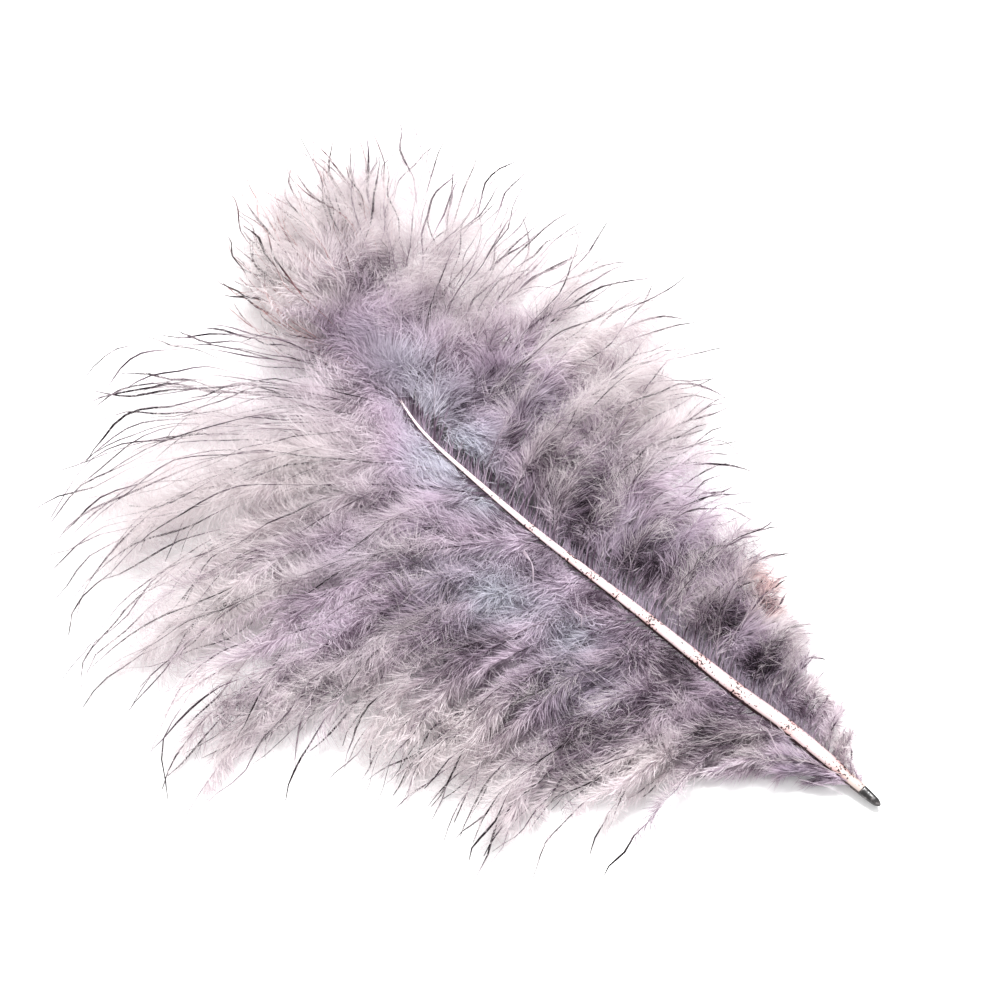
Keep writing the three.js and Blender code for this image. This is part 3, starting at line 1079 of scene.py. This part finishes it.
def noise(nodes, links, place, per_metre, detail):
    texture = nodes.new("ShaderNodeTexNoise")
    texture.inputs["Scale"].default_value = per_metre
    texture.inputs["Detail"].default_value = detail
    links.new(place, texture.inputs["Vector"])
    return texture.outputs["Fac"]


def bump(nodes, links, height, surface, strength, depth):
    """Gives a surface a bump of this depth in metres."""
    node = nodes.new("ShaderNodeBump")
    node.inputs["Strength"].default_value = strength
    node.inputs["Distance"].default_value = depth
    links.new(height, node.inputs["Height"])
    links.new(node.outputs["Normal"], surface.inputs["Normal"])


def down_material():
    """Soft down: colour from the corner UVs, light coming through as well as off it."""
    material, nodes, links = new_material("down")
    across, up = uv_axes(nodes, links)
    tone = ramp(nodes, links, across, [
        (0.0, 36, 28, 33),
        (0.25, 124, 109, 121),
        (0.5, 191, 181, 189),
        (0.75, 221, 216, 218),
        (1.0, 241, 239, 239),
    ])
    hue = ramp(nodes, links, up, [
        (UV_MARGIN, 240, 245, 253),
        (0.35, 248, 237, 250),
        (0.67, 254, 249, 250),
        (1 - UV_MARGIN, 255, 208, 200),
    ])
    colour = multiplied(nodes, links, tone, hue)
    surface = surface_shader(nodes, roughness=0.7, specular=0.2)
    through = nodes.new("ShaderNodeBsdfTranslucent")
    both = nodes.new("ShaderNodeMixShader")
    both.inputs["Fac"].default_value = LIGHT_THROUGH
    links.new(colour, surface.inputs["Base Color"])
    links.new(colour, through.inputs["Color"])
    links.new(surface.outputs["BSDF"], both.inputs[1])
    links.new(through.outputs["BSDF"], both.inputs[2])
    show(nodes, links, both)
    return material


def shaft_place(along):
    """A distance from the quill tip in mm as a place on the shaft's UV map."""
    share = (along - SHAFT_START_INSIDE_TIP) / (SHAFT_LENGTH - SHAFT_START_INSIDE_TIP)
    return UV_MARGIN + (1 - 2 * UV_MARGIN) * share


def shaft_material():
    """Pale horn painted white on top as if lit, with a dark side that is partly the horn's own and
    partly painted shade, brown specks in clusters and fine lengthwise lines.
    """
    material, nodes, links = new_material("shaft_horn")
    along, turn = uv_axes(nodes, links)
    length = ramp(nodes, links, along, [
        (shaft_place(3.2), 188, 180, 174),
        (shaft_place(5.6), 206, 196, 192),
        (shaft_place(6.6), 220, 205, 206),
        (shaft_place(24), 219, 206, 209),
        (shaft_place(60), 226, 216, 221),
        (shaft_place(80), 218, 208, 214),
    ])
    # Painted light and shade around the shaft: white on top where light falls, a dark band on one
    # side that is partly the horn's darker side and partly painted shade, and greyer underneath as
    # painted shade.
    flank_shade_and_top_light = ramp(nodes, links, turn, [
        (0.0, 196, 184, 188),
        (0.1, 222, 214, 217),
        (0.26, 255, 255, 255),
        (0.41, 255, 255, 255),
        (0.425, 84, 62, 60),
        (0.6, 50, 38, 40),
        (0.68, 150, 134, 138),
        (1.0, 206, 194, 198),
    ])
    base = multiplied(nodes, links, length, flank_shade_and_top_light)
    clusters = speck_clusters(nodes, links, along)
    stain = ramp(nodes, links, clusters, [(0.0, 255, 255, 255), (1.0, 246, 218, 212)])
    stained = multiplied(nodes, links, base, stain)
    specks = speck_mask(nodes, links, clusters)
    dark = ramp(nodes, links, specks, [(0.0, 255, 255, 255), (1.0, 48, 26, 26)])
    surface = surface_shader(nodes, roughness=0.38, specular=0.45)
    links.new(multiplied(nodes, links, stained, dark), surface.inputs["Base Color"])
    stretch = nodes.new("ShaderNodeMapping")
    stretch.inputs["Scale"].default_value = (HORN_LINE_STRETCH, 1, 1)
    links.new(nodes.new("ShaderNodeTexCoord").outputs["Object"], stretch.inputs["Vector"])
    lines = noise(nodes, links, stretch.outputs["Vector"], HORN_LINES_PER_METRE, detail=3)
    bump(nodes, links, lines, surface, strength=0.25, depth=0.04 * MM)
    show(nodes, links, surface)
    return material


def speck_clusters(nodes, links, along):
    """How thick the specks stand along the shaft: 1 in the middle of each cluster."""
    places, levels = [], []
    for middle, half in SPECK_CLUSTERS:
        places += [shaft_place(place) for place in (middle - half, middle, middle + half)]
        levels += [[level] * 3 for level in (SPECKS_BETWEEN, 1.0, SPECKS_BETWEEN)]
    return linear_ramp(nodes, links, along, places, levels)


def speck_mask(nodes, links, clusters):
    """Small specks, thick in the clusters and rare elsewhere."""
    place = nodes.new("ShaderNodeTexCoord").outputs["Object"]
    together = nodes.new("ShaderNodeMath")
    together.operation = "MULTIPLY_ADD"
    together.inputs[1].default_value = SPECK_CLUSTER_WEIGHT
    links.new(clusters, together.inputs[0])
    links.new(noise(nodes, links, place, SPECKS_PER_METRE, detail=1), together.inputs[2])
    cut = nodes.new("ShaderNodeMapRange")
    cut.inputs["From Min"].default_value = SPECK_LEVEL
    cut.inputs["From Max"].default_value = SPECK_LEVEL + SPECK_EDGE
    links.new(together.outputs["Value"], cut.inputs["Value"])
    return cut.outputs["Result"]


def quill_tip_material():
    """Dark glossy horn with paler grey patches."""
    material, nodes, links = new_material("quill_tip_horn")
    place = nodes.new("ShaderNodeTexCoord").outputs["Object"]
    patches = noise(nodes, links, place, TIP_PATCHES_PER_METRE, detail=3)
    colour = ramp(nodes, links, patches, [
        (0.3, 12, 10, 11),
        (0.52, 30, 27, 28),
        (0.64, 74, 70, 70),
        (0.78, 128, 124, 124),
    ])
    surface = surface_shader(nodes, roughness=0.22)
    links.new(colour, surface.inputs["Base Color"])
    bump(nodes, links, patches, surface, strength=0.5, depth=0.08 * MM)
    show(nodes, links, surface)
    return material


# Shaft

def horn_rod(name, line, half_widths, sides, material):
    """A closed rod with a rounded-square section that follows a line, its UVs laid out flat."""
    steps = len(line)
    forward = normalised(np.gradient(line, axis=0))
    level = normalised(np.cross(forward, UP))
    above = np.cross(level, forward)
    angles = np.linspace(0, 2 * np.pi, sides, endpoint=False)
    power = 2 / SHAFT_SQUARENESS
    wide = np.sign(np.cos(angles)) * np.abs(np.cos(angles)) ** power
    high = np.sign(np.sin(angles)) * np.abs(np.sin(angles)) ** power * SHAFT_FLATNESS
    size = half_widths[:, None, None]
    ring = level[:, None] * wide[None, :, None] + above[:, None] * high[None, :, None]
    points = line[:, None] + ring * size
    points[..., 2] = np.maximum(points[..., 2], LEAST_HEIGHT)
    index = np.arange(steps * sides).reshape(steps, sides)
    after = np.roll(index, -1, axis=1)
    quads = np.stack([index[:-1], after[:-1], after[1:], index[1:]], axis=-1).reshape(-1)
    along = np.linspace(UV_MARGIN, 1 - UV_MARGIN, steps)
    turn = np.linspace(0, 1, sides + 1)
    rows, columns = np.meshgrid(np.arange(steps - 1), np.arange(sides), indexing="ij")
    corners_u = np.stack([along[rows], along[rows], along[rows + 1], along[rows + 1]], axis=-1)
    here, there = turn[columns], turn[columns + 1]
    corners_v = np.stack([here, there, there, here], axis=-1)
    uv = np.stack([corners_u, corners_v], axis=-1).reshape(-1, 2)
    caps = np.concatenate([index[0][::-1], index[-1]])
    circle = np.stack([np.cos(angles), np.sin(angles)], axis=-1) * UV_MARGIN * CAP_RADIUS
    start_uv = (circle + [UV_MARGIN * CAP_MIDDLE, 0.5])[::-1]
    end_uv = circle + [1 - UV_MARGIN * CAP_MIDDLE, 0.5]
    loops = np.concatenate([quads, caps])
    sizes = np.concatenate([np.full((steps - 1) * sides, 4), [sides, sides]])
    uv = np.concatenate([uv, start_uv, end_uv])
    return mesh_piece(name, points.reshape(-1, 3), loops, sizes, uv, material, smooth=True)


def shaft_pieces():
    """The pale shaft and the dark rounded end of its quill."""
    fine = smooth_path(SHAFT_LINE, FINE_STEPS)
    length = travelled(fine)

    def stretch(start, end, steps, spacing=1.0):
        wanted = start + (end - start) * np.linspace(0, 1, steps) ** spacing
        widths = np.interp(wanted / length[-1], SHAFT_WIDTH_SHARES, SHAFT_HALF_WIDTHS)
        return points_at(wanted, length, fine), widths, wanted

    line, widths, _ = stretch(SHAFT_START_INSIDE_TIP, length[-1], SHAFT_STEPS)
    shaft = horn_rod("shaft", line, widths, SHAFT_SIDES, shaft_material())
    line, widths, place = stretch(0, DARK_TIP_LENGTH, DARK_TIP_STEPS, TIP_SPACING)
    curve = 1 - (1 - place / TIP_ROUND_LENGTH) ** 2
    rounding = np.sqrt(np.clip(curve, TIP_LEAST_ROUNDING, 1))
    rounding = np.where(place < TIP_ROUND_LENGTH, rounding, 1)
    widths = widths * rounding * TIP_SWELLING
    tip = horn_rod("quill_tip", line, widths, SHAFT_SIDES, quill_tip_material())
    wear(shaft)
    wear(tip)


# Down

def down_fields(rng):
    """The random fields that gather barbules into tufts and mottle their tone."""
    return {
        "bend": [waves(rng, TUFT_SIZE) for _ in range(3)],
        "blotch": waves(rng, BLOTCH_SIZE),
        "streak": waves(rng, STREAK_SIZE),
        "tint": waves(rng, TINT_SIZE),
    }


def core_tones(barbs, rng, fields, bare_tones, outer_hue):
    """How a core's tone runs: pale at its root, then as its fluff, darker where it is bare."""
    bare = rng.uniform(*bare_tones, (len(barbs.lines), 1))
    bare += SILKY_CORE_TONE * (1 - smoothstep(*SILKY_ROOTS, barbs.roots[:, None]))

    def tone_at(lines, share):
        share = share[None, :]
        start = share * barbs.reaches[:, None]
        inner_tone = CORE_ROOT_TONE - CORE_ROOT_FADE * smoothstep(*CORE_ROOT_FADES, start)
        inner_tone = inner_tone + CORE_MOTTLING * fields["streak"](lines)
        paler = BARE_LIGHTENING * (1 - smoothstep(*BARE_DARKENS, share))
        outer_tone = bare + paler + CORE_MOTTLING * fields["blotch"](lines)
        outer = around(barbs.fluff_ends[:, None], CORE_BARES, share)
        tone = inner_tone * (1 - outer) + outer_tone * outer
        return tone, LILAC + (outer_hue - LILAC) * outer

    return tone_at


def make_down():
    """The down of both vanes and the crown, the bare strands and the loose pale ones."""
    rng = np.random.default_rng(SEED)
    material = down_material()
    shaft = smooth_path(SHAFT_LINE, ROOT_STEPS)
    fields = down_fields(rng)
    vanes = {
        "broad": vane(rng, BROAD_VANE, 1, BROAD_BARE_BASE, shaft),
        "narrow": vane(rng, NARROW_VANE, -1, NARROW_BARE_BASE, shaft),
        "crown": crown(rng, shaft),
    }
    for barbs in vanes.values():
        barbs.tones = rng.normal(0, BARB_CONTRAST, len(barbs.roots))
    total = sum(barbs.fluff.sum() for barbs in vanes.values())
    base_strands(rng, shaft, material)
    pale_strands(rng, material)
    for name, barbs in vanes.items():
        cores = core_mesh("barbs_" + name, barbs, rng, material, CORE_SHARES, CORE_RADII,
                          core_tones(barbs, rng, fields, BARE_TONES[name], BARE_HUES[name]))
        wear(cores)
        own = dict(fields, barb_tone=barbs.tones)
        for stretch, low, high in DOWN_PIECES[name]:
            some, some_fields = part_of(barbs, low, high, own)
            wanted = int(BARBULES * some.fluff.sum() / total)
            piece = barbule_mesh(f"down_{name}_{stretch}", some, rng, some_fields, wanted, material)
            wear(piece)


# Stage: the camera as in the photo, then the floor, the room and the light, in metres and watts.

CAMERA_AZIMUTH = math.radians(45)
CAMERA_ELEVATION = math.radians(60)
CAMERA_DISTANCE = 2.5
PHOTO_SCALE = 7.97
PHOTO_WIDTH = 1000
SENSOR_WIDTH = 36.0
CAMERA_CLIP = [0.01, 20]
FLOOR_HALF_SIZE = 3.0
FLOOR_BRIGHTNESS = 0.93
ROOM_STRENGTH = 1.08
LIGHT_SIZE = 0.35
LIGHT_POWER = 12.5
LIGHT_DISTANCE = 0.9
LIGHT_TURN = math.radians(160)
LIGHT_ELEVATION = math.radians(58)
MOST_BOUNCES = 6
SOFT_BOUNCES = 4
# The feather point that the middle of the photograph shows: along, across, height.
CAMERA_AIM = np.array([63.3, 3.7, 4.0])


def back_vector(azimuth, elevation):
    return Vector((
        math.sin(azimuth) * math.cos(elevation),
        -math.cos(azimuth) * math.cos(elevation),
        math.sin(elevation),
    ))


def make_camera():
    data = bpy.data.cameras.new("camera")
    data.sensor_width = SENSOR_WIDTH
    data.lens = PHOTO_SCALE * SENSOR_WIDTH * CAMERA_DISTANCE / (PHOTO_WIDTH * MM)
    data.clip_start, data.clip_end = CAMERA_CLIP
    camera = bpy.data.objects.new("camera", data)
    back = back_vector(CAMERA_AZIMUTH, CAMERA_ELEVATION)
    camera.location = Vector(to_frame(CAMERA_AIM)) + back * CAMERA_DISTANCE
    camera.rotation_mode = "QUATERNION"
    camera.rotation_quaternion = (-back).to_track_quat("-Z", "Y")
    bpy.context.scene.collection.objects.link(camera)
    bpy.context.scene.camera = camera


def make_floor():
    """A plain pale floor, large enough to fill every view."""
    size = FLOOR_HALF_SIZE
    mesh = bpy.data.meshes.new("floor")
    corners = [(-size, -size, 0), (size, -size, 0), (size, size, 0), (-size, size, 0)]
    mesh.from_pydata(corners, [], [(0, 1, 2, 3)])
    material, nodes, links = new_material("floor_white")
    surface = surface_shader(nodes, roughness=0.9)
    surface.inputs["Base Color"].default_value = (*[FLOOR_BRIGHTNESS] * 3, 1)
    show(nodes, links, surface)
    mesh.materials.append(material)
    floor = bpy.data.objects.new("floor", mesh)
    bpy.context.scene.collection.objects.link(floor)


def make_light():
    """A white room and one large soft light from behind and above."""
    world = bpy.data.worlds.new("white_room")
    world.use_nodes = True
    background = world.node_tree.nodes["Background"]
    background.inputs["Color"].default_value = (1, 1, 1, 1)
    background.inputs["Strength"].default_value = ROOM_STRENGTH
    bpy.context.scene.world = world
    data = bpy.data.lights.new("soft_light", "AREA")
    data.shape = "DISK"
    data.size = LIGHT_SIZE
    data.energy = LIGHT_POWER
    light = bpy.data.objects.new("soft_light", data)
    back = back_vector(CAMERA_AZIMUTH + LIGHT_TURN, LIGHT_ELEVATION)
    light.location = back * LIGHT_DISTANCE
    light.rotation_mode = "QUATERNION"
    light.rotation_quaternion = back.to_track_quat("Z", "Y")
    bpy.context.scene.collection.objects.link(light)


def make_stage():
    scene = bpy.context.scene
    scene.view_settings.view_transform = "Standard"
    scene.view_settings.look = "None"
    scene.cycles.max_bounces = MOST_BOUNCES
    scene.cycles.diffuse_bounces = SOFT_BOUNCES
    scene.cycles.transmission_bounces = SOFT_BOUNCES
    make_camera()
    make_floor()
    make_light()


make_stage()
shaft_pieces()
make_down()
